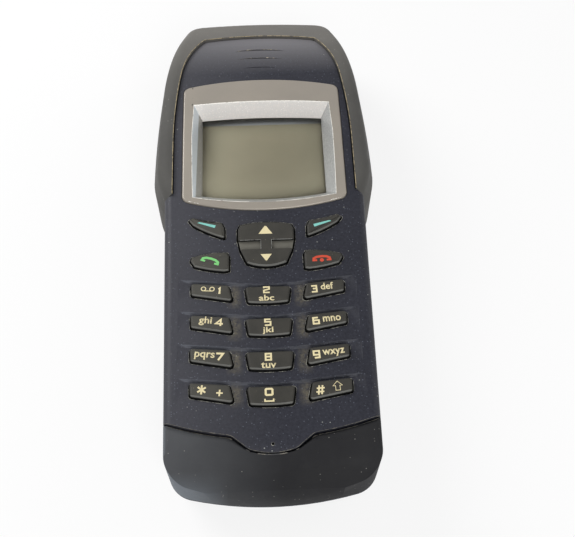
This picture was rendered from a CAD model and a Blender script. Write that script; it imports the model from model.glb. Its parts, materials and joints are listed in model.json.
import bmesh
import bpy
import json
import math
from mathutils import Matrix, Vector


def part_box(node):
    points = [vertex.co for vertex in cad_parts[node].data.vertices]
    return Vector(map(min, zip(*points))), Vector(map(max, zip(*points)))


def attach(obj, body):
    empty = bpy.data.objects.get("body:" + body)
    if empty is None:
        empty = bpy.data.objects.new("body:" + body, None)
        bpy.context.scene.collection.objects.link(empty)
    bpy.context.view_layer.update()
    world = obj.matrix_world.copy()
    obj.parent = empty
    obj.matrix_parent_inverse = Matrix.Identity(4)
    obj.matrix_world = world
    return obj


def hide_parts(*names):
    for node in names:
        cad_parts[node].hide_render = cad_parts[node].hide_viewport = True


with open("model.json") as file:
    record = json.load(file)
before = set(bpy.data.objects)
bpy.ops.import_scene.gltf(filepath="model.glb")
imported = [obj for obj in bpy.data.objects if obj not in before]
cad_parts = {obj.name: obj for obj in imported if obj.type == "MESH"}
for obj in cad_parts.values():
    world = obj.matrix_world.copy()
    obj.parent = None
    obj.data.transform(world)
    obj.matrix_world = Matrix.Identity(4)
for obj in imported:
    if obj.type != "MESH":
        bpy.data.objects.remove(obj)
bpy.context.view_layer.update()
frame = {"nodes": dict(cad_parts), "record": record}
nodes = frame["nodes"]
mm = 0.001
weldGap = 2e-6  # corners nearer than this, in metres, are one
print("frame loaded,", len(nodes), "nodes")

bodies = frame["record"]["behaviour"]["bodies"]
bodyOf = {member: body for body, members in bodies.items() for member in members}
slotOf = {part["node"]: part["material_slot"] for part in frame["record"]["subparts"]}


# camera at the photograph's place, in metres and degrees
cameraSettings = {
    "lens": 54.28,
    "sensor": 36,
    "nearest": 0.01,
    "aim": (0.0049, -0.0179, 0.025),
    "distance": 0.208,
    "lean": 30.4,
    "turn": -1.63,
    "roll": -2.77,
}


def makeCamera(s):
    lean, turn, roll = (math.radians(s[key]) for key in ("lean", "turn", "roll"))
    away = Vector((math.sin(turn), -math.sin(lean) * math.cos(turn),
                   math.cos(lean) * math.cos(turn)))
    right = Vector((0, 1, 0)).cross(away).normalized()
    up = away.cross(right)
    across = math.cos(roll) * right + math.sin(roll) * up
    upward = math.cos(roll) * up - math.sin(roll) * right
    data = bpy.data.cameras.new("camera")
    data.lens = s["lens"]
    data.sensor_width = s["sensor"]
    data.clip_start = s["nearest"]
    camera = bpy.data.objects.new("camera", data)
    turned = Matrix((across, upward, away)).transposed().to_4x4()
    middle = Vector(s["aim"]) + s["distance"] * away
    camera.matrix_world = Matrix.Translation(middle) @ turned
    bpy.context.scene.collection.objects.link(camera)
    bpy.context.scene.camera = camera


makeCamera(cameraSettings)
print("camera placed")


# an output socket that takes part in sums
class Channel:
    def __init__(self, wiring, socket):
        self.wiring = wiring
        self.socket = socket

    def joined(self, operation, *values):
        return self.wiring.node("ShaderNodeMath", {"operation": operation},
                                dict(enumerate(values)))

    def __add__(self, other):
        return self.joined("ADD", self, other)

    def __radd__(self, other):
        return self.joined("ADD", other, self)

    def __sub__(self, other):
        return self.joined("SUBTRACT", self, other)

    def __rsub__(self, other):
        return self.joined("SUBTRACT", other, self)

    def __mul__(self, other):
        return self.joined("MULTIPLY", self, other)

    def __rmul__(self, other):
        return self.joined("MULTIPLY", other, self)

    def __pow__(self, other):
        return self.joined("POWER", self, other)

    def __abs__(self):
        return self.joined("ABSOLUTE", self)

    def above(self, low, high):
        # 0 at low, 1 at high, held beyond them, and a straight ramp between
        return self.wiring.node("ShaderNodeMapRange", {"clamp": True},
                                {"Value": self, "From Min": low, "From Max": high})

    def past(self, low, high):
        # the same ramp between two places in millimetres
        return self.above(low * mm, high * mm)

    def scaled(self, least, gain):
        return least + gain * self


# makes and links the nodes of one material or world
class Wiring:
    def __init__(self, tree):
        self.tree = tree

    def node(self, kind, settings=None, inputs=None, output=0):
        made = self.tree.nodes.new(kind)
        for key, value in (settings or {}).items():
            setattr(made, key, value)
        for key, value in (inputs or {}).items():
            self.feed(made.inputs[key], value)
        return Channel(self, made.outputs[output])

    def feed(self, socket, value):
        if isinstance(value, Channel):
            self.tree.links.new(value.socket, socket)
        elif isinstance(value, (tuple, list)) and len(value) == 3 and socket.type == "RGBA":
            socket.default_value = (*value, 1)
        else:
            socket.default_value = value

    def backdropRays(self):
        # 1 for what the eye sees by itself, in a mirror or through glass
        seen, mirrored, through = (
            self.node("ShaderNodeLightPath", {}, {}, "Is %s Ray" % kind)
            for kind in ("Camera", "Glossy", "Transmission"))
        return seen + mirrored + through


# specks: the share of their radius that is solid, and of their number that shows in full
speckSettings = {"core": 0.6, "full": 0.5}


# one material with its principled shader
class Paint(Wiring):
    def __init__(self, name, **fixed):
        self.material = bpy.data.materials.new(name)
        self.material.use_nodes = True
        super().__init__(self.material.node_tree)
        self.shader = self.tree.nodes["Principled BSDF"]
        self.set(**fixed)
        self.place = self.node("ShaderNodeTexCoord", {}, {}, "Object")
        self.facing = self.node("ShaderNodeTexCoord", {}, {}, "Normal")

    def noise(self, perMm, detail, rough=0.5):
        return self.node("ShaderNodeTexNoise", {}, {
            "Vector": self.place, "Scale": perMm / mm, "Detail": detail, "Roughness": rough})

    def specks(self, perMm, size, share):
        # round specks: size is their radius as a share of a cell, share how many cells have one
        cells = {"Vector": self.place, "Scale": perMm / mm}
        near = self.node("ShaderNodeTexVoronoi", {}, cells, "Distance")
        tint = self.node("ShaderNodeTexVoronoi", {}, cells, "Color")
        odds = self.node("ShaderNodeSeparateColor", {}, {"Color": tint}, "Red")
        inside = 1 - near.above(size * speckSettings["core"], size)
        return inside * odds.above(1 - share, 1 - share * speckSettings["full"])

    def mixed(self, share, first, second):
        return self.node("ShaderNodeMix", {"data_type": "RGBA"},
                         {"Factor": share, 6: first, 7: second}, 2)

    def part(self, axis):
        # where the surface is along an axis, in metres
        return self.node("ShaderNodeSeparateXYZ", {}, {"Vector": self.place}, axis)

    def toward(self, axis):
        # how far the surface looks along an axis, -1 to 1
        return self.node("ShaderNodeSeparateXYZ", {}, {"Vector": self.facing}, axis)

    def bump(self, height, depth):
        # depth in millimetres
        return self.node("ShaderNodeBump", {}, {
            "Height": height, "Strength": 1.0, "Distance": depth * mm})

    def set(self, **links):
        for key, value in links.items():
            self.feed(self.shader.inputs[key.replace("_", " ")], value)
        return self.material


def toLinear(red, green, blue):
    # shades as a screen shows them, 0 to 255, turned into amounts of light
    shades = []
    for value in (red, green, blue):
        value /= 255
        shades.append(value / 12.92 if value <= 0.04045 else ((value + 0.055) / 1.055) ** 2.4)
    return tuple(shades)


# in every look: a range is the two ends of a ramp, X, Y and Z in mm, a noise is its cells per
# mm, detail and roughness, spots are cells per mm, size and how many cells have one, and what
# is scaled is the least value and what is added to it
coverLook = {
    "deep": toLinear(24, 25, 33), "worn": toLinear(51, 52, 61),
    "sky": toLinear(146, 144, 147), "haze": toLinear(80, 80, 85),
    "ridge": toLinear(118, 122, 132), "brown": toLinear(112, 106, 90),
    "fleck": toLinear(104, 110, 122), "dust": toLinear(170, 172, 168),
    "cloud": (0.05, 4), "cloudRange": (0.35, 0.75), "cloudShare": 0.25,
    "mottle": (1.5, 5, 0.85), "mottleRange": (0.36, 0.66), "mottleShare": 0.6,
    "grain": (3.2, 3, 0.7), "grainDepth": 0.014,
    "crownY": (43, 65), "crownShare": 0.75, "hazeX": (-2, 21), "hazeScaled": (0.25, 0.3),
    "ridgeLean": (0.1, 0.4), "ridgeTailY": (-56, -54), "ridgeHeadY": (-20, -18),
    "ridgeX": (12, -18), "ridgeScaled": (0.1, 0.25), "ridgeGrainScaled": (0.5, 0.7),
    "columnX": 8.0, "columnEdge": (0.3, 2.1), "rowsY": (-53.5, -20.5), "rowsFade": 2,
    "rowY": -25.0, "pitch": 8.43, "rowGap": (0.16, 0.44),
    "brownNoise": (1.3, 6, 0.8), "brownRange": (0.36, 0.64), "brownShare": 0.8,
    "fleckSpots": (1.6, 0.2, 0.6), "dustSpots": (0.55, 0.09, 0.35), "spotShare": 0.7,
    "roughScaled": (0.42, 0.14), "brownRough": 0.3,
}


def coverPaint(s):
    paint = Paint("coverBlue", Metallic=0.0, Specular_IOR_Level=0.2)
    across, along = paint.part("X"), paint.part("Y")
    cloud, grain = paint.noise(*s["cloud"]), paint.noise(*s["grain"])
    mottle = paint.noise(*s["mottle"])
    wear = (cloud.above(*s["cloudRange"]) * s["cloudShare"]
            + mottle.above(*s["mottleRange"]) * s["mottleShare"])
    colour = paint.mixed(wear, s["deep"], s["worn"])
    colour = paint.mixed(along.past(*s["crownY"]) * s["crownShare"], colour, s["sky"])
    leftward = (0 - across).past(*s["hazeX"])
    colour = paint.mixed(leftward * grain.scaled(*s["hazeScaled"]), colour, s["haze"])
    # ridges above the number rows are rubbed pale
    ridges = (0 - paint.toward("Y")).above(*s["ridgeLean"])
    ridges = ridges * (1 - along.past(*s["ridgeHeadY"])) * along.past(*s["ridgeTailY"])
    ridges = ridges * across.past(*s["ridgeX"]).scaled(*s["ridgeScaled"])
    colour = paint.mixed(ridges * grain.scaled(*s["ridgeGrainScaled"]), colour, s["ridge"])
    # brown dust between the key columns
    beside = 1 - abs(abs(across) - s["columnX"] * mm).past(*s["columnEdge"])
    first, last = s["rowsY"]
    fade = s["rowsFade"]
    rows = along.past(first, first + fade) - along.past(last - fade, last)
    fromKey = (along - s["rowY"] * mm) * (1 / s["pitch"] / mm)
    fromKey = fromKey.joined("PINGPONG", fromKey, 0.5)
    dusty = beside * rows * (1 - fromKey.above(*s["rowGap"]))
    dusty = dusty * paint.noise(*s["brownNoise"]).above(*s["brownRange"])
    colour = paint.mixed(dusty * s["brownShare"], colour, s["brown"])
    for spots, tone in (("fleckSpots", "fleck"), ("dustSpots", "dust")):
        colour = paint.mixed(paint.specks(*s[spots]) * s["spotShare"], colour, s[tone])
    rough = cloud.scaled(*s["roughScaled"]) + s["brownRough"] * dusty
    return paint.set(Base_Color=colour, Roughness=rough,
                     Normal=paint.bump(grain, s["grainDepth"]))


# what all rubber and plain plastic pieces share
rubberBase = {
    "cloud": (0.08, 5, 0.6), "cloudRange": (0.3, 0.7), "cloudShare": 0.6, "grainShare": 0.4,
    "grainDepth": 0.02, "dustSpots": (0.9, 0.12, 0.45), "spotShare": 0.6,
    "smear": (0.25, 6, 0.65), "smearRange": (0.52, 0.78), "paleScaled": (0.7, 0.5),
    "rolledUp": (0.3, 0.8), "rolledOut": (0.86, 0.97), "edgeX": (-10, -27),
    "edgeScaled": (0.35, 0.5), "roughScaled": (0.58, 0.2), "smearRough": 0.12,
}
bumperLook = {
    "base": toLinear(84, 83, 80), "dark": toLinear(70, 69, 67), "dust": toLinear(178, 176, 168),
    "grain": (2.6, 3, 0.6), "paleTone": toLinear(124, 121, 116), "paleAxis": "Y",
    "paleRange": (34, 72), "paleShare": 0.8,
}
capLook = {
    "base": toLinear(40, 40, 41), "dark": toLinear(28, 28, 31), "dust": toLinear(150, 148, 142),
    "grain": (2.2, 3, 0.6), "paleTone": toLinear(100, 102, 105), "paleAxis": "X",
    "paleRange": (2, -31), "paleShare": 0.72, "edgeTone": toLinear(150, 160, 170),
}
rearLook = {"base": toLinear(50, 53, 60), "dark": toLinear(38, 40, 47),
            "dust": toLinear(120, 122, 124), "grain": (3.4, 3, 0.6)}
matLook = {"base": toLinear(120, 120, 116), "dark": toLinear(104, 104, 100),
           "dust": toLinear(160, 158, 150), "grain": (2.0, 3, 0.6)}
plasticLook = {"base": toLinear(52, 52, 52), "dark": toLinear(42, 42, 42),
               "dust": toLinear(110, 110, 108), "grain": (2.4, 3, 0.6)}
sideKeyLook = {"base": toLinear(44, 44, 44), "dark": toLinear(34, 34, 34),
               "dust": toLinear(120, 118, 112), "grain": (2.2, 3, 0.6)}
infraredLook = {"base": toLinear(34, 18, 26), "dark": toLinear(26, 14, 20),
                "dust": toLinear(90, 80, 84), "grain": (1.0, 3, 0.6)}


def rubberPaint(name, own, **fixed):
    s = {**rubberBase, **own}
    paint = Paint(name, **fixed)
    cloud, grain = paint.noise(*s["cloud"]), paint.noise(*s["grain"])
    wear = cloud.above(*s["cloudRange"]) * s["cloudShare"] + grain * s["grainShare"]
    colour = paint.mixed(wear, s["dark"], s["base"])
    if "paleTone" in s:
        rubbed = paint.part(s["paleAxis"]).past(*s["paleRange"]) * s["paleShare"]
        colour = paint.mixed(rubbed * cloud.scaled(*s["paleScaled"]), colour, s["paleTone"])
    if "edgeTone" in s:
        # the rolled edge at the left, but not the flat side below it
        rolled = 1 - paint.toward("Z").above(*s["rolledUp"])
        rolled = rolled * (1 - (0 - paint.toward("X")).above(*s["rolledOut"]))
        rolled = rolled * paint.part("X").past(*s["edgeX"])
        colour = paint.mixed(rolled * cloud.scaled(*s["edgeScaled"]), colour, s["edgeTone"])
    colour = paint.mixed(paint.specks(*s["dustSpots"]) * s["spotShare"], colour, s["dust"])
    smear = paint.noise(*s["smear"]).above(*s["smearRange"])
    rough = grain.scaled(*s["roughScaled"]) - s["smearRough"] * smear
    return paint.set(Base_Color=colour, Roughness=rough,
                     Normal=paint.bump(grain, s["grainDepth"]))


keyLook = {
    "base": toLinear(58, 56, 51), "dark": toLinear(42, 41, 37), "wall": toLinear(14, 14, 14),
    "worn": toLinear(112, 112, 108), "sunken": toLinear(104, 102, 94),
    "haze": toLinear(88, 87, 80), "dust": toLinear(140, 132, 112),
    "cloud": (0.3, 4, 0.6), "cloudRange": (0.35, 0.7), "cloudShare": 0.6,
    "grain": (3.0, 3, 0.6), "grainShare": 0.3, "grainDepth": 0.016,
    "hazeX": (-4, -16), "hazeShare": 0.35, "dustSpots": (1.0, 0.11, 0.35), "spotShare": 0.6,
    "shoulderLow": (0.3, 0.6), "shoulderHigh": (0.88, 0.97), "shoulderLean": (0.25, 0.5),
    "wornScaled": (0.5, 0.5), "wallUp": (0.15, 0.4), "sunkenFloorZ": (24.9, 25.0),
    "sunkenRimZ": (25.6, 25.65), "sunkenUp": (0.8, 0.95), "sunkenScaled": (0.5, 0.5),
    "roughScaled": (0.44, 0.16), "cloudRough": 0.1,
}


def keyPaint(s):
    paint = Paint("keyPlastic", Metallic=0.0, Specular_IOR_Level=0.25)
    up, height = paint.toward("Z"), paint.part("Z")
    cloud, grain = paint.noise(*s["cloud"]), paint.noise(*s["grain"])
    wear = cloud.above(*s["cloudRange"]) * s["cloudShare"] + grain * s["grainShare"]
    colour = paint.mixed(wear, s["dark"], s["base"])
    colour = paint.mixed(paint.part("X").past(*s["hazeX"]) * s["hazeShare"], colour, s["haze"])
    colour = paint.mixed(paint.specks(*s["dustSpots"]) * s["spotShare"], colour, s["dust"])
    # shoulders towards the tail are rubbed lighter, walls stay dark, grooves hold dust
    shoulder = up.above(*s["shoulderLow"]) * (1 - up.above(*s["shoulderHigh"]))
    shoulder = shoulder * (0 - paint.toward("Y")).above(*s["shoulderLean"])
    colour = paint.mixed(shoulder * cloud.scaled(*s["wornScaled"]), colour, s["worn"])
    colour = paint.mixed(1 - up.above(*s["wallUp"]), colour, s["wall"])
    sunken = height.past(*s["sunkenFloorZ"]) * (1 - height.past(*s["sunkenRimZ"]))
    sunken = sunken * up.above(*s["sunkenUp"])
    colour = paint.mixed(sunken * cloud.scaled(*s["sunkenScaled"]), colour, s["sunken"])
    rough = grain.scaled(*s["roughScaled"]) + s["cloudRough"] * cloud
    return paint.set(Base_Color=colour, Roughness=rough,
                     Normal=paint.bump(grain, s["grainDepth"]))


bezelLook = {
    "base": toLinear(150, 142, 131), "dark": toLinear(136, 130, 121),
    "chip": toLinear(52, 48, 42), "cloud": (0.1, 4), "cloudRange": (0.3, 0.7),
    "cloudShare": 0.5, "grain": (5.0, 2), "grainShare": 0.4, "grainDepth": 0.006,
    "chipX": -18.35, "chipEdge": (0.08, 0.2), "chips": (0.8, 2), "chipRange": (0.58, 0.64),
    "chipY": (10, 12), "roughScaled": (0.3, 0.16),
}


def bezelPaint(s):
    paint = Paint("bezelPaint", Metallic=0.25, Specular_IOR_Level=0.5)
    cloud, grain = paint.noise(*s["cloud"]), paint.noise(*s["grain"])
    wear = cloud.above(*s["cloudRange"]) * s["cloudShare"] + grain * s["grainShare"]
    colour = paint.mixed(wear, s["dark"], s["base"])
    chipped = 1 - abs(paint.part("X") - s["chipX"] * mm).past(*s["chipEdge"])
    chipped = chipped * paint.noise(*s["chips"]).above(*s["chipRange"])
    colour = paint.mixed(chipped * paint.part("Y").past(*s["chipY"]), colour, s["chip"])
    return paint.set(Base_Color=colour, Roughness=grain.scaled(*s["roughScaled"]),
                     Normal=paint.bump(grain, s["grainDepth"]))


bevelLook = {
    "base": toLinear(196, 197, 196), "dark": toLinear(158, 160, 160),
    "glint": toLinear(250, 248, 244), "bright": toLinear(214, 209, 204),
    "outer": toLinear(214, 222, 228), "inner": toLinear(150, 148, 142),
    "grain": (2.8, 3, 0.75), "grainRange": (0.35, 0.65), "grainShare": 0.8, "grainDepth": 0.03,
    "topLean": (0.3, 0.5), "topRange": (0.4, 0.62), "topScaled": (0.45, 0.55),
    "leftLean": (0.4, 0.6), "leftShare": 0.85, "stepZ": (25.08, 25.32),
    "glintSpots": (2.4, 0.26, 0.5), "spotShare": 0.8, "roughScaled": (0.26, 0.2),
}


def bevelPaint(s):
    paint = Paint("bevelSilver", Metallic=0.5, Specular_IOR_Level=0.5)
    grain = paint.noise(*s["grain"])
    colour = paint.mixed(grain.above(*s["grainRange"]) * s["grainShare"], s["base"], s["dark"])
    top = (0 - paint.toward("Y")).above(*s["topLean"])
    streaks = grain.above(*s["topRange"]).scaled(*s["topScaled"])
    colour = paint.mixed(top * streaks, colour, s["bright"])
    # the left slope is darker below its step
    left = paint.toward("X").above(*s["leftLean"])
    stepped = paint.mixed(paint.part("Z").past(*s["stepZ"]), s["inner"], s["outer"])
    colour = paint.mixed(left * s["leftShare"], colour, stepped)
    colour = paint.mixed(paint.specks(*s["glintSpots"]) * s["spotShare"], colour, s["glint"])
    return paint.set(Base_Color=colour, Roughness=grain.scaled(*s["roughScaled"]),
                     Normal=paint.bump(grain, s["grainDepth"]))


# a clear pane: only its film and specks show
glassLook = {
    "base": toLinear(120, 118, 104), "dust": toLinear(225, 222, 205),
    "film": (0.25, 4, 0.6), "filmRange": (0.5, 0.85), "dustSpots": (0.9, 0.07, 0.25),
    "alphaScaled": (0.05, 0.04), "dustAlpha": 0.4, "roughScaled": (0.1, 0.2),
}


def glassPaint(s):
    paint = Paint("windowGlass", Specular_IOR_Level=0.4, IOR=1.5)
    film = paint.noise(*s["film"]).above(*s["filmRange"])
    speck = paint.specks(*s["dustSpots"])
    colour = paint.mixed(speck, s["base"], s["dust"])
    alpha = film.scaled(*s["alphaScaled"]) + s["dustAlpha"] * speck
    return paint.set(Base_Color=colour, Roughness=film.scaled(*s["roughScaled"]), Alpha=alpha)


displayLook = {
    "base": toLinear(139, 133, 112), "dark": toLinear(133, 128, 108),
    "rim": toLinear(232, 226, 196), "strip": toLinear(186, 192, 200),
    "cloud": (0.04, 2), "cloudShare": 0.85, "grain": (4.0, 1), "grainShare": 0.15,
    "middleY": 17.0, "sideways": (1, 17.5), "sideShare": 0.5, "lengthways": (1, 14.5),
    "lengthShare": 0.42, "fade": 2.2, "stripY": (28.95, 29.25), "stripShare": 0.9,
    "roughScaled": (0.6, 0.1),
}


def displayPaint(s):
    paint = Paint("displayPanel", Metallic=0.0, Specular_IOR_Level=0.12)
    along = paint.part("Y")
    cloud, grain = paint.noise(*s["cloud"]), paint.noise(*s["grain"])
    colour = paint.mixed(cloud * s["cloudShare"] + grain * s["grainShare"], s["dark"], s["base"])
    # a little paler towards the frame, which shades it
    sideways = abs(paint.part("X")).past(*s["sideways"]) ** s["fade"]
    lengthways = abs(along - s["middleY"] * mm).past(*s["lengthways"]) ** s["fade"]
    outward = sideways * s["sideShare"] + lengthways * s["lengthShare"]
    colour = paint.mixed(outward, colour, s["rim"])
    colour = paint.mixed(along.past(*s["stripY"]) * s["stripShare"], colour, s["strip"])
    return paint.set(Base_Color=colour, Roughness=grain.scaled(*s["roughScaled"]))


boardLook = {"base": toLinear(26, 84, 58), "trace": toLinear(40, 110, 74),
             "lineScale": 0.5, "lineWidth": 0.04, "lineShare": 0.7, "grain": (3.0, 2),
             "grainShare": 0.2, "roughScaled": (0.35, 0.1)}


def boardPaint(s):
    paint = Paint("board", Metallic=0.0)
    lines = paint.node("ShaderNodeTexBrick", {}, {
        "Vector": paint.place, "Scale": s["lineScale"] / mm,
        "Mortar Size": s["lineWidth"]}, "Fac")
    grain = paint.noise(*s["grain"])
    traces = lines * s["lineShare"] + grain * s["grainShare"]
    return paint.set(Base_Color=paint.mixed(traces, s["base"], s["trace"]),
                     Roughness=grain.scaled(*s["roughScaled"]))


# metals: name, bright and dull tone, least roughness
metalLooks = {
    "contact_steel": ("contactSteel", (214, 214, 208), (180, 180, 172), 0.25),
    "light_alloy": ("lightAlloy", (190, 190, 192), (160, 160, 162), 0.45),
    "tin_steel": ("tinSteel", (205, 205, 200), (175, 174, 168), 0.3),
    "contact_gold": ("contactGold", (222, 190, 110), (190, 158, 88), 0.25),
    "screw_steel": ("screwSteel", (140, 140, 142), (96, 96, 98), 0.35),
    "cell_metal": ("cellMetal", (200, 200, 204), (170, 170, 176), 0.35),
    "insert_brass": ("insertBrass", (214, 176, 98), (176, 140, 74), 0.3),
}
metalBase = {"cloud": (0.2, 4), "cloudRange": (0.3, 0.75), "cloudShare": 0.7,
             "grain": (2.0, 2), "grainShare": 0.3, "grainDepth": 0.008, "cloudRough": 0.2}


def metalPaint(name, bright, dull, rough):
    s = metalBase
    paint = Paint(name, Metallic=1.0)
    cloud, grain = paint.noise(*s["cloud"]), paint.noise(*s["grain"])
    wear = cloud.above(*s["cloudRange"]) * s["cloudShare"] + grain * s["grainShare"]
    return paint.set(Base_Color=paint.mixed(wear, toLinear(*bright), toLinear(*dull)),
                     Roughness=cloud.scaled(rough, s["cloudRough"]),
                     Normal=paint.bump(grain, s["grainDepth"]))


# printed signs, a little rubbed
legendLook = {"rubs": (1.2, 4, 0.6), "rubRange": (0.5, 0.8), "rubShare": 0.35, "rubTone": 0.6,
              "roughScaled": (0.5, 0.1)}


def legendPaint(name, tone):
    s = legendLook
    paint = Paint(name, Specular_IOR_Level=0.3)
    wear = paint.noise(*s["rubs"]).above(*s["rubRange"])
    rubbed = toLinear(*(value * s["rubTone"] for value in tone))
    colour = paint.mixed(wear * s["rubShare"], toLinear(*tone), rubbed)
    return paint.set(Base_Color=colour, Roughness=wear.scaled(*s["roughScaled"]))


# dust or rubbed paint along an edge, broken up along its length
lineLook = {"breaks": (0.8, 4, 0.7), "breakRange": (0.65, 0.85), "shareReach": 0.35,
            "roughScaled": (0.7, -0.1)}


def linePaint(name, pale, dim, share, least):
    # share is how much of the length is covered, least how solid the rest still is
    s = lineLook
    paint = Paint(name, Specular_IOR_Level=0.3)
    low, high = (end - share * s["shareReach"] for end in s["breakRange"])
    broken = paint.noise(*s["breaks"]).above(low, high)
    colour = paint.mixed(broken, toLinear(*dim), toLinear(*pale))
    return paint.set(Base_Color=colour, Roughness=broken.scaled(*s["roughScaled"]),
                     Alpha=broken.scaled(least, 1 - least))


materials = {
    "cover": coverPaint(coverLook),
    "bumper": rubberPaint("bumperRubber", bumperLook, Specular_IOR_Level=0.2),
    "cap": rubberPaint("capRubber", capLook, Specular_IOR_Level=0.12),
    "bezel": bezelPaint(bezelLook),
    "bevel": bevelPaint(bevelLook),
    "window": glassPaint(glassLook),
    "display": displayPaint(displayLook),
    "inner_plastic": rubberPaint("innerPlastic", plasticLook),
    "mat": rubberPaint("matRubber", matLook),
    "board": boardPaint(boardLook),
    "rear": rubberPaint("rearPlastic", rearLook, Specular_IOR_Level=0.45),
    "battery": rubberPaint("batteryPlastic", rearLook, Specular_IOR_Level=0.45),
    "side_key": rubberPaint("sideKeyRubber", sideKeyLook),
    "infrared": rubberPaint("infraredPane", infraredLook, Specular_IOR_Level=0.6,
                            Coat_Weight=0.6, Coat_Roughness=0.1),
    "keys": keyPaint(keyLook),
}
for slot, look in metalLooks.items():
    materials[slot] = metalPaint(*look)
legendCream = legendPaint("legendCream", (222, 209, 166))
legendMint = legendPaint("legendMint", (128, 196, 186))
legendGreen = legendPaint("legendGreen", (120, 196, 118))
legendRed = legendPaint("legendRed", (196, 74, 52))
print("materials ready")


def link(name, mesh):
    piece = bpy.data.objects.new(name, mesh)
    bpy.context.scene.collection.objects.link(piece)
    return piece


def welded(node):
    # the node's own form with its shared corners joined
    shape = bmesh.new()
    shape.from_mesh(nodes[node].data)
    bmesh.ops.remove_doubles(shape, verts=shape.verts, dist=weldGap)
    return shape


def finished(node, shape):
    # the worked form takes the node's place, finish and body
    mesh = bpy.data.meshes.new(node + "_finished")
    shape.to_mesh(mesh)
    shape.free()
    mesh.materials.append(materials[slotOf[node]])
    piece = link(node + "_finished", mesh)
    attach(piece, bodyOf[node])
    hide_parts(node)
    return piece


# edges: fold in degrees from which an edge is eased, flat in degrees that still counts as flat
easeSettings = {"fold": 30, "flat": 0.6, "shadeWeight": 80}


def edgeSoft(piece, width, segments, clamp):
    bevel = piece.modifiers.new("softEdges", "BEVEL")
    bevel.width = width * mm
    bevel.segments = segments
    bevel.limit_method = "ANGLE"
    bevel.angle_limit = math.radians(easeSettings["fold"])
    bevel.use_clamp_overlap = clamp
    bevel.harden_normals = False
    bevel.miter_outer = "MITER_ARC"
    shade = piece.modifiers.new("evenShade", "WEIGHTED_NORMAL")
    shade.keep_sharp = True
    shade.weight = easeSettings["shadeWeight"]


def softCopy(node, width, segments=2, clamp=False):
    # the node's own form with its sharp edges eased
    shape = welded(node)
    bmesh.ops.dissolve_limit(shape, angle_limit=math.radians(easeSettings["flat"]),
                             verts=shape.verts, edges=shape.edges)
    for face in shape.faces:
        face.smooth = True
        face.material_index = 0
    piece = finished(node, shape)
    if width:
        edgeSoft(piece, width, segments, clamp)
    return piece


# shells of the case, with the width of their eased edges in mm
shellEdges = {"bottom_cap": 0.1, "connector_door": 0.2, "volume_key": 0.2, "power_key": 0.2,
              "infrared_window": 0.1, "case_screws": 0.08, "coin_screw_left": 0.1,
              "coin_screw_right": 0.1, "charge_connector": 0.1}
for node, width in shellEdges.items():
    softCopy(node, width)
print("shells dressed")


# front cover, its shallow creases eased between the keys: the longest edge, the limits of the
# eased field and its height in mm, the least upward look of its faces, the fold in degrees
# that stays sharp, and how often and how far its points are pulled level
coverEase = {"cell": 0.55, "splits": 7, "rounds": 26, "pull": 0.5, "halfWide": 21.9,
             "low": -54.8, "high": -18.0, "face": 24.2, "upward": 0.4, "sharp": 32}


def easedCover(s):
    node = "front_cover"
    shape = welded(node)

    def within(point):
        place = point.co / mm
        return (abs(place.x) < s["halfWide"] and s["low"] < place.y < s["high"]
                and place.z > s["face"])

    def upward(item):
        return all(face.normal.z > s["upward"] for face in item.link_faces)

    for turn in range(s["splits"]):
        split = [edge for edge in shape.edges if edge.calc_length() > s["cell"] * mm
                 and (within(edge.verts[0]) or within(edge.verts[1])) and upward(edge)]
        if not split:
            break
        bmesh.ops.subdivide_edges(shape, edges=split, cuts=1)
        bmesh.ops.triangulate(shape, faces=[face for face in shape.faces if len(face.verts) > 3])
        shape.normal_update()
    loose = [point for point in shape.verts if within(point) and upward(point)]
    for turn in range(s["rounds"]):
        bmesh.ops.smooth_vert(shape, verts=loose, factor=s["pull"], use_axis_x=False,
                              use_axis_y=False, use_axis_z=True)
    eased = set(loose)
    for face in shape.faces:
        face.smooth = any(point in eased for point in face.verts)
        face.material_index = 0
    for edge in shape.edges:
        edge.smooth = edge.calc_face_angle(0) < math.radians(s["sharp"])
    print("cover eased,", len(shape.faces), "facets")
    finished(node, shape)


easedCover(coverEase)


# display bezel in two finishes: the slopes that face the window are silver, and how far up
# they look lies between steepest and flattest
bezelSplit = {"edge": 0.18, "steepest": 0.1, "flattest": 0.93, "middleY": 18, "halfWide": 19.6}


def dressBezel(s):
    mesh = softCopy("display_bezel", s["edge"]).data
    mesh.materials.append(materials["bevel"])
    for face in mesh.polygons:
        place = face.center / mm
        inward = -face.normal.x * place.x - face.normal.y * (place.y - s["middleY"])
        if (s["steepest"] < face.normal.z < s["flattest"] and inward > 0
                and abs(place.x) < s["halfWide"]):
            face.material_index = 1


dressBezel(bezelSplit)
paneEdges = {"display_lens": 0.1, "lcd_panel": 0}
for node, width in paneEdges.items():
    softCopy(node, width)
print("display dressed")

# keys
keyEdge = {"width": 0.14, "segments": 3}
for node in nodes:
    if slotOf[node] == "keys":
        softCopy(node, keyEdge["width"], keyEdge["segments"], node == "navigation_key")
print("keys dressed")


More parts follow.
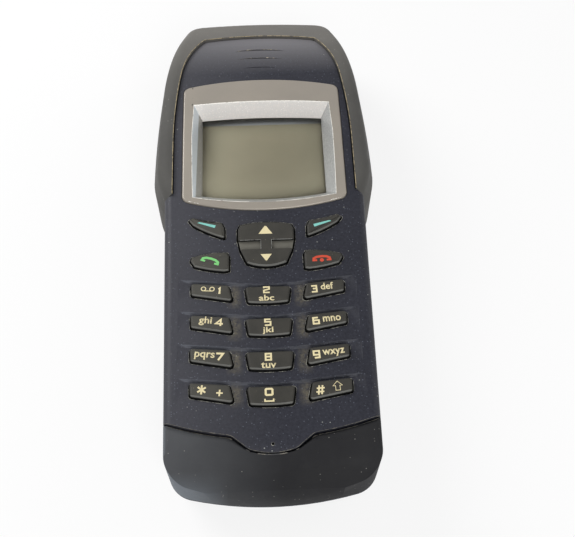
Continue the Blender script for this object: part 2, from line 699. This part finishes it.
# dust and rubbed paint along the edges of nodes, thick in mm. An edge is taken where each
# measure lies between its limits: height, side and along say where it is in mm, upper and
# lower how far its two faces look up, headward and outward where the lower one looks
far = math.inf
creaseFold = 0.12  # least fold of an edge in radians
rimDroop = 0.06  # how far the window's top falls per mm to the side
headMiddle = 20  # middle of the head bumper's opening in mm
seamDust = linePaint("seamDust", (118, 114, 105), (64, 64, 66), 0.6, 1.0)
edgeLines = {
    "aperture_dust": {
        "node": "front_cover", "thick": 0.06,
        "look": linePaint("apertureDust", (158, 156, 146), (66, 68, 72), 0.7, 0.25),
        "limits": {"height": (23.6, far), "along": (-far, -1.5), "side": (-far, 21),
                   "upper": (0.8, far), "lower": (-far, 0.3)}},
    "joint_dust": {
        "node": "head_bumper", "thick": 0.08,
        "look": linePaint("jointDust", (178, 162, 128), (96, 90, 76), 0.9, 0.3),
        "limits": {"height": (22, far), "upper": (0.5, far), "lower": (-far, 0.35),
                   "outward": (-far, -0.3)}},
    "seam_dust": {
        "node": "bottom_cap", "thick": 0.13,
        "look": seamDust,
        "limits": {"height": (20, far), "along": (-66, far), "upper": (0.5, far),
                   "lower": (-far, 0.5), "headward": (0.3, far)}},
    "seam_rim": {
        "node": "front_cover", "thick": 0.07,
        "look": seamDust,
        "limits": {"height": (20, far), "along": (-far, -53.5), "side": (-far, 27),
                   "upper": (0.5, far), "lower": (-far, 0.5), "headward": (-far, -0.3)}},
    "slot_dust": {
        "node": "front_cover", "thick": 0.07,
        "look": linePaint("slotDust", (214, 202, 178), (120, 118, 116), 0.6, 0.0),
        "limits": {"along": (48, far), "side": (-far, 6), "upper": (0.6, far),
                   "lower": (-far, 0.4), "headward": (-far, -0.3)}},
    "rim_shine": {
        "node": "display_bezel", "thick": 0.07,
        "look": linePaint("rimShine", (250, 248, 240), (200, 198, 190), 1.0, 0.4),
        "limits": {"height": (24, far), "along": (1.2, far), "drooped": (-far, 34),
                   "side": (-far, 19), "upper": (0.9, far), "lower": (0.3, 0.88)}},
    "groove_shine": {
        "node": "navigation_key", "thick": 0.06,
        "look": linePaint("grooveShine", (150, 150, 146), (80, 80, 78), 1.0, 0.15),
        "limits": {"height": (25.4, far), "along": (-12, -9), "side": (-far, 6.6),
                   "upper": (0.9, far), "lower": (-far, 0.5), "headward": (-far, 0.5)}},
}


def chosen(limits, place, upper, lower):
    measures = {
        "height": place.z, "side": abs(place.x), "along": place.y,
        "drooped": place.y + abs(place.x) * rimDroop, "upper": upper.z, "lower": lower.z,
        "headward": lower.y, "outward": lower.x * place.x + lower.y * (place.y - headMiddle)}
    return all(low < measures[name] < high for name, (low, high) in limits.items())


def creases(node, limits):
    # chains of points along the edges that the limits choose
    shape = welded(node)
    shape.normal_update()
    beside = {}
    for edge in shape.edges:
        if len(edge.link_faces) == 2:
            upper, lower = (face.normal for face in
                            sorted(edge.link_faces, key=lambda face: -face.normal.z))
            first, second = edge.verts
            middle = (first.co + second.co) / 2 / mm
            if upper.angle(lower, 0) > creaseFold and chosen(limits, middle, upper, lower):
                beside.setdefault(first, []).append(second)
                beside.setdefault(second, []).append(first)
    chains = []
    while beside:
        here = next((point for point in beside if len(beside[point]) == 1), next(iter(beside)))
        chain = [here.co.copy()]
        while beside.get(here):
            after = beside[here].pop()
            beside[after].remove(here)
            chain.append(after.co.copy())
            here = after
        beside = {point: near for point, near in beside.items() if near}
        chains.append(chain)
    shape.free()
    return chains


def flattened(curve):
    # the mesh that a curve or a text makes
    holder = bpy.data.objects.new(curve.name, curve)
    bpy.context.scene.collection.objects.link(holder)
    bpy.context.view_layer.update()
    mesh = bpy.data.meshes.new_from_object(
        holder.evaluated_get(bpy.context.evaluated_depsgraph_get()))
    bpy.data.objects.remove(holder)
    mesh.materials.clear()
    return mesh


def creaseLine(name, s):
    curve = bpy.data.curves.new(name, "CURVE")
    curve.dimensions = "3D"
    curve.bevel_depth = s["thick"] * mm
    curve.bevel_resolution = 1
    for chain in creases(s["node"], s["limits"]):
        run = curve.splines.new("POLY")
        run.points.add(len(chain) - 1)
        for point, corner in zip(run.points, chain):
            point.co = (*corner, 1)
    print(name, len(curve.splines), "runs")
    mesh = flattened(curve)
    mesh.materials.append(s["look"])
    piece = link(name, mesh)
    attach(piece, bodyOf[s["node"]])


for name, settings in edgeLines.items():
    creaseLine(name, settings)
print("edges rubbed")


# legends, printed on the key tops, in mm: lift above the key, thickness, the step between
# outlines that cross, the weight of letters, the steps of their curves, the share of a stroke
# that a figure's height gives up, the sharpest mitre and the gap that is welded
legendSettings = {"lift": 0.012, "thick": 0.02, "step": 0.0006, "weight": 0.022,
                  "curveSteps": 4, "strokeShare": 0.8, "mitre": 0.5, "weld": 1e-5}
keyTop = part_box("key_5")[1].z


def outlineText(text, height, wide, weight):
    # text as a flat mesh, centred on its own middle, scaled to a height and a width
    curve = bpy.data.curves.new("legend", "FONT")
    curve.body = text
    curve.offset = weight
    curve.resolution_u = legendSettings["curveSteps"]
    mesh = flattened(curve)
    xs = [point.co.x for point in mesh.vertices]
    ys = [point.co.y for point in mesh.vertices]
    middle = Vector(((min(xs) + max(xs)) / 2, (min(ys) + max(ys)) / 2, 0))
    across = wide / (max(xs) - min(xs))
    along = height / (max(ys) - min(ys))
    for point in mesh.vertices:
        away = point.co - middle
        point.co = Vector((away.x * across, away.y * along, 0))
    return mesh


def shapesMesh(outlines):
    # closed flat outlines, each a little above the last so that none meet
    shape = bmesh.new()
    for step, outline in enumerate(outlines):
        height = step * legendSettings["step"]
        shape.faces.new([shape.verts.new((x, y, height)) for x, y in outline])
    mesh = bpy.data.meshes.new("legend")
    shape.to_mesh(mesh)
    shape.free()
    return mesh


def stroke(points, width, closed=False):
    # a line of even width through the points with mitred corners, as quads
    count = len(points)
    sides = []
    for step in range(count):
        here = Vector(points[step])
        before = after = None
        if step or closed:
            before = here - Vector(points[step - 1])
        if step < count - 1 or closed:
            after = Vector(points[(step + 1) % count]) - here
        before = (before or after).normalized()
        after = (after or before).normalized()
        along = (before + after).normalized()
        mitre = max(along.dot(before), legendSettings["mitre"])
        out = Vector((-along.y, along.x)) * width / 2 / mitre
        sides.append((here + out, here - out))
    quads = []
    for step in range(count if closed else count - 1):
        (left, right), (nextLeft, nextRight) = sides[step], sides[(step + 1) % count]
        quads.append([left, right, nextRight, nextLeft])
    return quads


def printOn(name, mesh, key, x, y, turn, look):
    # turns the flat mesh, puts it on its key at x, y and gives it its thickness
    shape = bmesh.new()
    shape.from_mesh(mesh)
    bmesh.ops.remove_doubles(shape, verts=shape.verts, dist=legendSettings["weld"])
    for face in list(shape.faces):
        if face.normal.z < 0:
            face.normal_flip()
    base = list(shape.faces)
    raised = bmesh.ops.extrude_face_region(shape, geom=base, use_keep_orig=True)
    lifted = [item for item in raised["geom"] if isinstance(item, bmesh.types.BMVert)]
    bmesh.ops.translate(shape, verts=lifted, vec=(0, 0, legendSettings["thick"]))
    bmesh.ops.reverse_faces(shape, faces=base)
    level = keyTop + (legendSettings["lift"] - legendSettings["thick"]) * mm
    move = (Matrix.Translation((x * mm, y * mm, level))
            @ Matrix.Rotation(math.radians(turn), 4, "Z") @ Matrix.Diagonal((mm, mm, mm, 1)))
    bmesh.ops.transform(shape, matrix=move, verts=shape.verts)
    shape.to_mesh(mesh)
    shape.free()
    mesh.materials.clear()
    mesh.materials.append(look)
    piece = link("legend_" + name, mesh)
    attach(piece, key)


# letters: text, key, middle x, middle y, width, height, turn in degrees
printed = [
    ("abc", "key_2", -0.35, -26.25, 3.6, 1.6, 0), ("def", "key_3", 13.95, -23.6, 3.0, 1.8, 5),
    ("ghi", "key_4", -14.6, -31.85, 3.0, 2.3, -6), ("jkl", "key_5", -0.28, -34.8, 2.5, 1.9, 0),
    ("mno", "key_6", 14.55, -32.25, 4.2, 1.35, 4), ("pqrs", "key_7", -14.75, -40.65, 4.6, 1.9, -6),
    ("tuv", "key_8", -0.37, -43.4, 3.4, 1.5, 0), ("wxyz", "key_9", 14.4, -40.9, 5.1, 1.9, 5),
]
for number, (text, key, x, y, wide, high, turn) in enumerate(printed):
    mesh = outlineText(text, high, wide, legendSettings["weight"])
    printOn("print_%02d" % number, mesh, key, x, y, turn, legendCream)

# figures as strokes in a square of one by one, each with whether it is closed
figures = {
    "0": [([(0, 0.12), (0, 0.88), (0.12, 1), (0.88, 1), (1, 0.88), (1, 0.12), (0.88, 0),
            (0.12, 0)], True)],
    "1": [([(0, 0.8), (0.55, 1), (0.55, 0)], False)],
    "2": [([(0, 0.8), (0, 1), (0.9, 1), (0.9, 0.62), (0, 0.4), (0, 0), (1, 0)], False)],
    "3": [([(0, 1), (0.95, 1), (0.95, 0), (0, 0)], False), ([(0.25, 0.54), (0.95, 0.54)], False)],
    "4": [([(0.68, 0), (0.68, 1), (0, 0.34), (1, 0.34)], False)],
    "5": [([(0.95, 1), (0.05, 1), (0.05, 0.58), (0.95, 0.58), (0.95, 0), (0, 0)], False)],
    "6": [([(0.85, 1), (0, 1), (0, 0), (0.95, 0), (0.95, 0.56), (0, 0.56)], False)],
    "7": [([(0, 1), (1, 1), (0.35, 0)], False)],
    "8": [([(0.06, 0), (0.06, 1), (0.94, 1), (0.94, 0)], True),
          ([(0.06, 0.53), (0.94, 0.53)], False)],
    "9": [([(0.15, 0), (1, 0), (1, 1), (0.05, 1), (0.05, 0.44), (1, 0.44)], False)],
    "+": [([(0.5, 0), (0.5, 1)], False), ([(0, 0.5), (1, 0.5)], False)],
    "*": [([(0.5, 0), (0.5, 1)], False), ([(0, 0.22), (1, 0.78)], False),
          ([(0, 0.78), (1, 0.22)], False)],
    "#": [([(0.22, 0), (0.42, 1)], False), ([(0.6, 0), (0.8, 1)], False),
          ([(0, 0.3), (0.9, 0.3)], False), ([(0.1, 0.7), (1, 0.7)], False)],
}
# figure, key, middle x, middle y, width, height, stroke, turn in degrees
figured = [
    ("1", "key_1", -11.35, -24.1, 0.95, 1.9, 0.5, -5),
    ("2", "key_2", -0.25, -24.15, 1.75, 1.75, 0.38, 0),
    ("3", "key_3", 10.9, -24.3, 1.65, 1.9, 0.4, 3),
    ("4", "key_4", -11.4, -32.4, 2.1, 2.0, 0.44, -5),
    ("5", "key_5", -0.27, -32.7, 1.8, 1.8, 0.39, 0),
    ("6", "key_6", 10.9, -32.7, 1.75, 1.85, 0.41, 3),
    ("7", "key_7", -11.4, -41.0, 2.0, 2.0, 0.46, -5),
    ("8", "key_8", -0.4, -41.4, 1.8, 1.85, 0.4, 0),
    ("9", "key_9", 10.45, -41.2, 1.75, 1.95, 0.42, 3),
    ("0", "key_0", -0.5, -49.85, 1.95, 1.8, 0.46, 0),
    ("*", "key_star", -15.35, -48.8, 2.2, 2.5, 0.42, -5),
    ("+", "key_star", -11.4, -49.7, 1.8, 1.8, 0.36, -5),
    ("#", "key_hash", 10.85, -49.8, 2.3, 2.4, 0.36, 4),
]
for number, (figure, key, x, y, wide, high, weight, turn) in enumerate(figured):
    across, along = wide - weight, high - weight * legendSettings["strokeShare"]
    quads = []
    for points, closed in figures[figure]:
        quads += stroke([((a - 0.5) * across, (b - 0.5) * along) for a, b in points],
                        weight, closed)
    printOn("figure_%02d" % number, shapesMesh(quads), key, x, y, turn, legendCream)


def circlePoints(x, y, radius, count=20):
    angles = [math.radians(360 * step / count) for step in range(count)]
    return [(x + radius * math.cos(angle), y + radius * math.sin(angle)) for angle in angles]


# signs, drawn in mm around their own middle
loopSign = {"apart": 1.0, "radius": 0.52, "stroke": 0.22}
spaceSign = {"points": [(-0.95, 0.35), (-0.95, -0.2), (0.95, -0.2), (0.95, 0.35)],
             "stroke": 0.32}
arrowSign = {"points": [(0, 1.15), (-1.05, 0.1), (-0.5, 0.1), (-0.5, -1.0), (0.5, -1.0),
                        (0.5, 0.1), (1.05, 0.1)], "stroke": 0.13}
riseSign = [(-1.7, -1.1), (1.7, -1.1), (0.2, 1.15), (-0.2, 1.15)]
fallSign = [(-1.35, 0.9), (-0.15, -0.9), (0.15, -0.9), (1.35, 0.9)]
barSign = [(-2.3, -0.02), (2.2, -0.4), (2.25, 0.4), (-1.9, 0.34)]
handsetSign = {
    "arch": [(-1.95, -0.55), (-1.9, 0.0), (-1.2, 0.38), (0, 0.5), (1.2, 0.38), (1.9, 0.0),
             (1.95, -0.55)], "archStroke": 0.62,
    "lump": (1.15, 2.3), "lumpY": -0.55, "lumpStroke": 0.5, "dot": 0.5,
    "dotSteps": 10}


def loops(s):
    apart, radius, width = s["apart"], s["radius"], s["stroke"]
    quads = stroke(circlePoints(-apart, 0, radius), width, True)
    quads += stroke(circlePoints(apart, 0, radius), width, True)
    return quads + stroke([(-apart, -radius), (apart, -radius)], width)


def handset(s, dot):
    # receiver seen from the side: an arched bar with a lump at each end
    near, end, low = *s["lump"], s["lumpY"]
    quads = stroke(s["arch"], s["archStroke"])
    quads += stroke([(-end, low), (-near, low)], s["lumpStroke"])
    quads += stroke([(near, low), (end, low)], s["lumpStroke"])
    if dot:
        quads += [circlePoints(0, low, s["dot"], s["dotSteps"])]
    return quads


# name, outlines, key, middle x, middle y, turn in degrees, finish
signs = [
    ("loops", loops(loopSign), "key_1", -14.1, -23.45, -4, legendCream),
    ("space", stroke(spaceSign["points"], spaceSign["stroke"]),
     "key_0", -0.5, -51.8, 0, legendCream),
    ("arrow", stroke(arrowSign["points"], arrowSign["stroke"], True),
     "key_hash", 14.7, -49.0, 4, legendCream),
    ("rise", [riseSign], "navigation_key", -0.1, -7.4, 0, legendCream),
    ("fall", [fallSign], "navigation_key", -0.1, -15.2, 0, legendCream),
    ("bar_left", [barSign], "soft_key_left", -14.5, -5.4, -16, legendMint),
    ("bar_right", [[(-x, y) for x, y in reversed(barSign)]],
     "soft_key_right", 14.0, -5.9, 15, legendMint),
    ("receiver_lift", handset(handsetSign, False), "call_key", -13.5, -15.6, -20, legendGreen),
    ("receiver_rest", handset(handsetSign, True), "end_key", 13.2, -15.9, 2, legendRed),
]
for name, outlines, key, x, y, turn, look in signs:
    printOn(name, shapesMesh(outlines), key, x, y, turn, look)
print("legends printed")

# the remaining nodes keep their form and take their finish
for name, node in nodes.items():
    if not node.hide_render:
        node.data.materials.clear()
        node.data.materials.append(materials[slotOf[name]])
        for face in node.data.polygons:
            face.material_index = 0
print("inner pieces finished")


# floor and light in metres and watts; shown is the share of plain white that the floor shows
# to the eye
stageSettings = {"floorSize": 3.0, "floorZ": -0.00005, "floorShades": (0.84, 0.88),
                 "floorCloud": (0.004, 2), "cloudShare": 0.2, "shown": 0.8,
                 "worldShade": 0.75, "worldStrength": 0.42}
lampSettings = {
    "keyLamp": {"place": (-0.34, 0.26, 0.36), "size": 0.34, "power": 2.1},
    "frontLamp": {"place": (0.10, -0.52, 0.46), "size": 0.36, "power": 2.4},
    "rightLamp": {"place": (0.55, 0.12, 0.34), "size": 0.4, "power": 0.6},
}


def makeFloor(s):
    shape = bmesh.new()
    half = s["floorSize"] / 2
    shape.faces.new([shape.verts.new(corner) for corner in (
        (-half, -half, 0), (half, -half, 0), (half, half, 0), (-half, half, 0))])
    mesh = bpy.data.meshes.new("floor")
    shape.to_mesh(mesh)
    shape.free()
    floor = link("floor", mesh)
    floor.location.z = s["floorZ"]
    paint = Paint("floorPaper", Roughness=0.9)
    dim, pale = ((shade,) * 3 for shade in s["floorShades"])
    cloud = paint.noise(*s["floorCloud"])
    paint.set(Base_Color=paint.mixed(cloud * s["cloudShare"], dim, pale))
    glow = paint.node("ShaderNodeEmission", {}, {"Color": (1.0, 1.0, 1.0), "Strength": 1.0})
    paper = Channel(paint, paint.shader.outputs[0])
    seen = paint.node("ShaderNodeMixShader", {}, {
        0: paint.backdropRays() * s["shown"], 1: paper, 2: glow})
    paint.feed(paint.tree.nodes["Material Output"].inputs["Surface"], seen)
    mesh.materials.append(paint.material)


def makeLamp(name, s):
    data = bpy.data.lights.new(name, "AREA")
    data.shape = "DISK"
    data.size = s["size"]
    data.energy = s["power"]
    lamp = bpy.data.objects.new(name, data)
    lamp.location = s["place"]
    lamp.rotation_euler = (-Vector(s["place"])).to_track_quat("-Z", "Y").to_euler()
    bpy.context.scene.collection.objects.link(lamp)


def makeWorld(s):
    world = bpy.data.worlds.new("studio")
    world.use_nodes = True
    sky = Wiring(world.node_tree)
    soft = sky.tree.nodes["Background"]
    sky.feed(soft.inputs["Color"], (s["worldShade"],) * 3)
    sky.feed(soft.inputs["Strength"], s["worldStrength"])
    white = sky.node("ShaderNodeBackground", {}, {"Color": (1.0, 1.0, 1.0), "Strength": 1.0})
    seen = sky.node("ShaderNodeMixShader", {}, {
        0: sky.backdropRays(), 1: Channel(sky, soft.outputs[0]), 2: white})
    sky.feed(sky.tree.nodes["World Output"].inputs["Surface"], seen)
    bpy.context.scene.world = world


makeFloor(stageSettings)
for name, settings in lampSettings.items():
    makeLamp(name, settings)
makeWorld(stageSettings)
bpy.context.scene.view_settings.view_transform = "Standard"
print("stage lit")
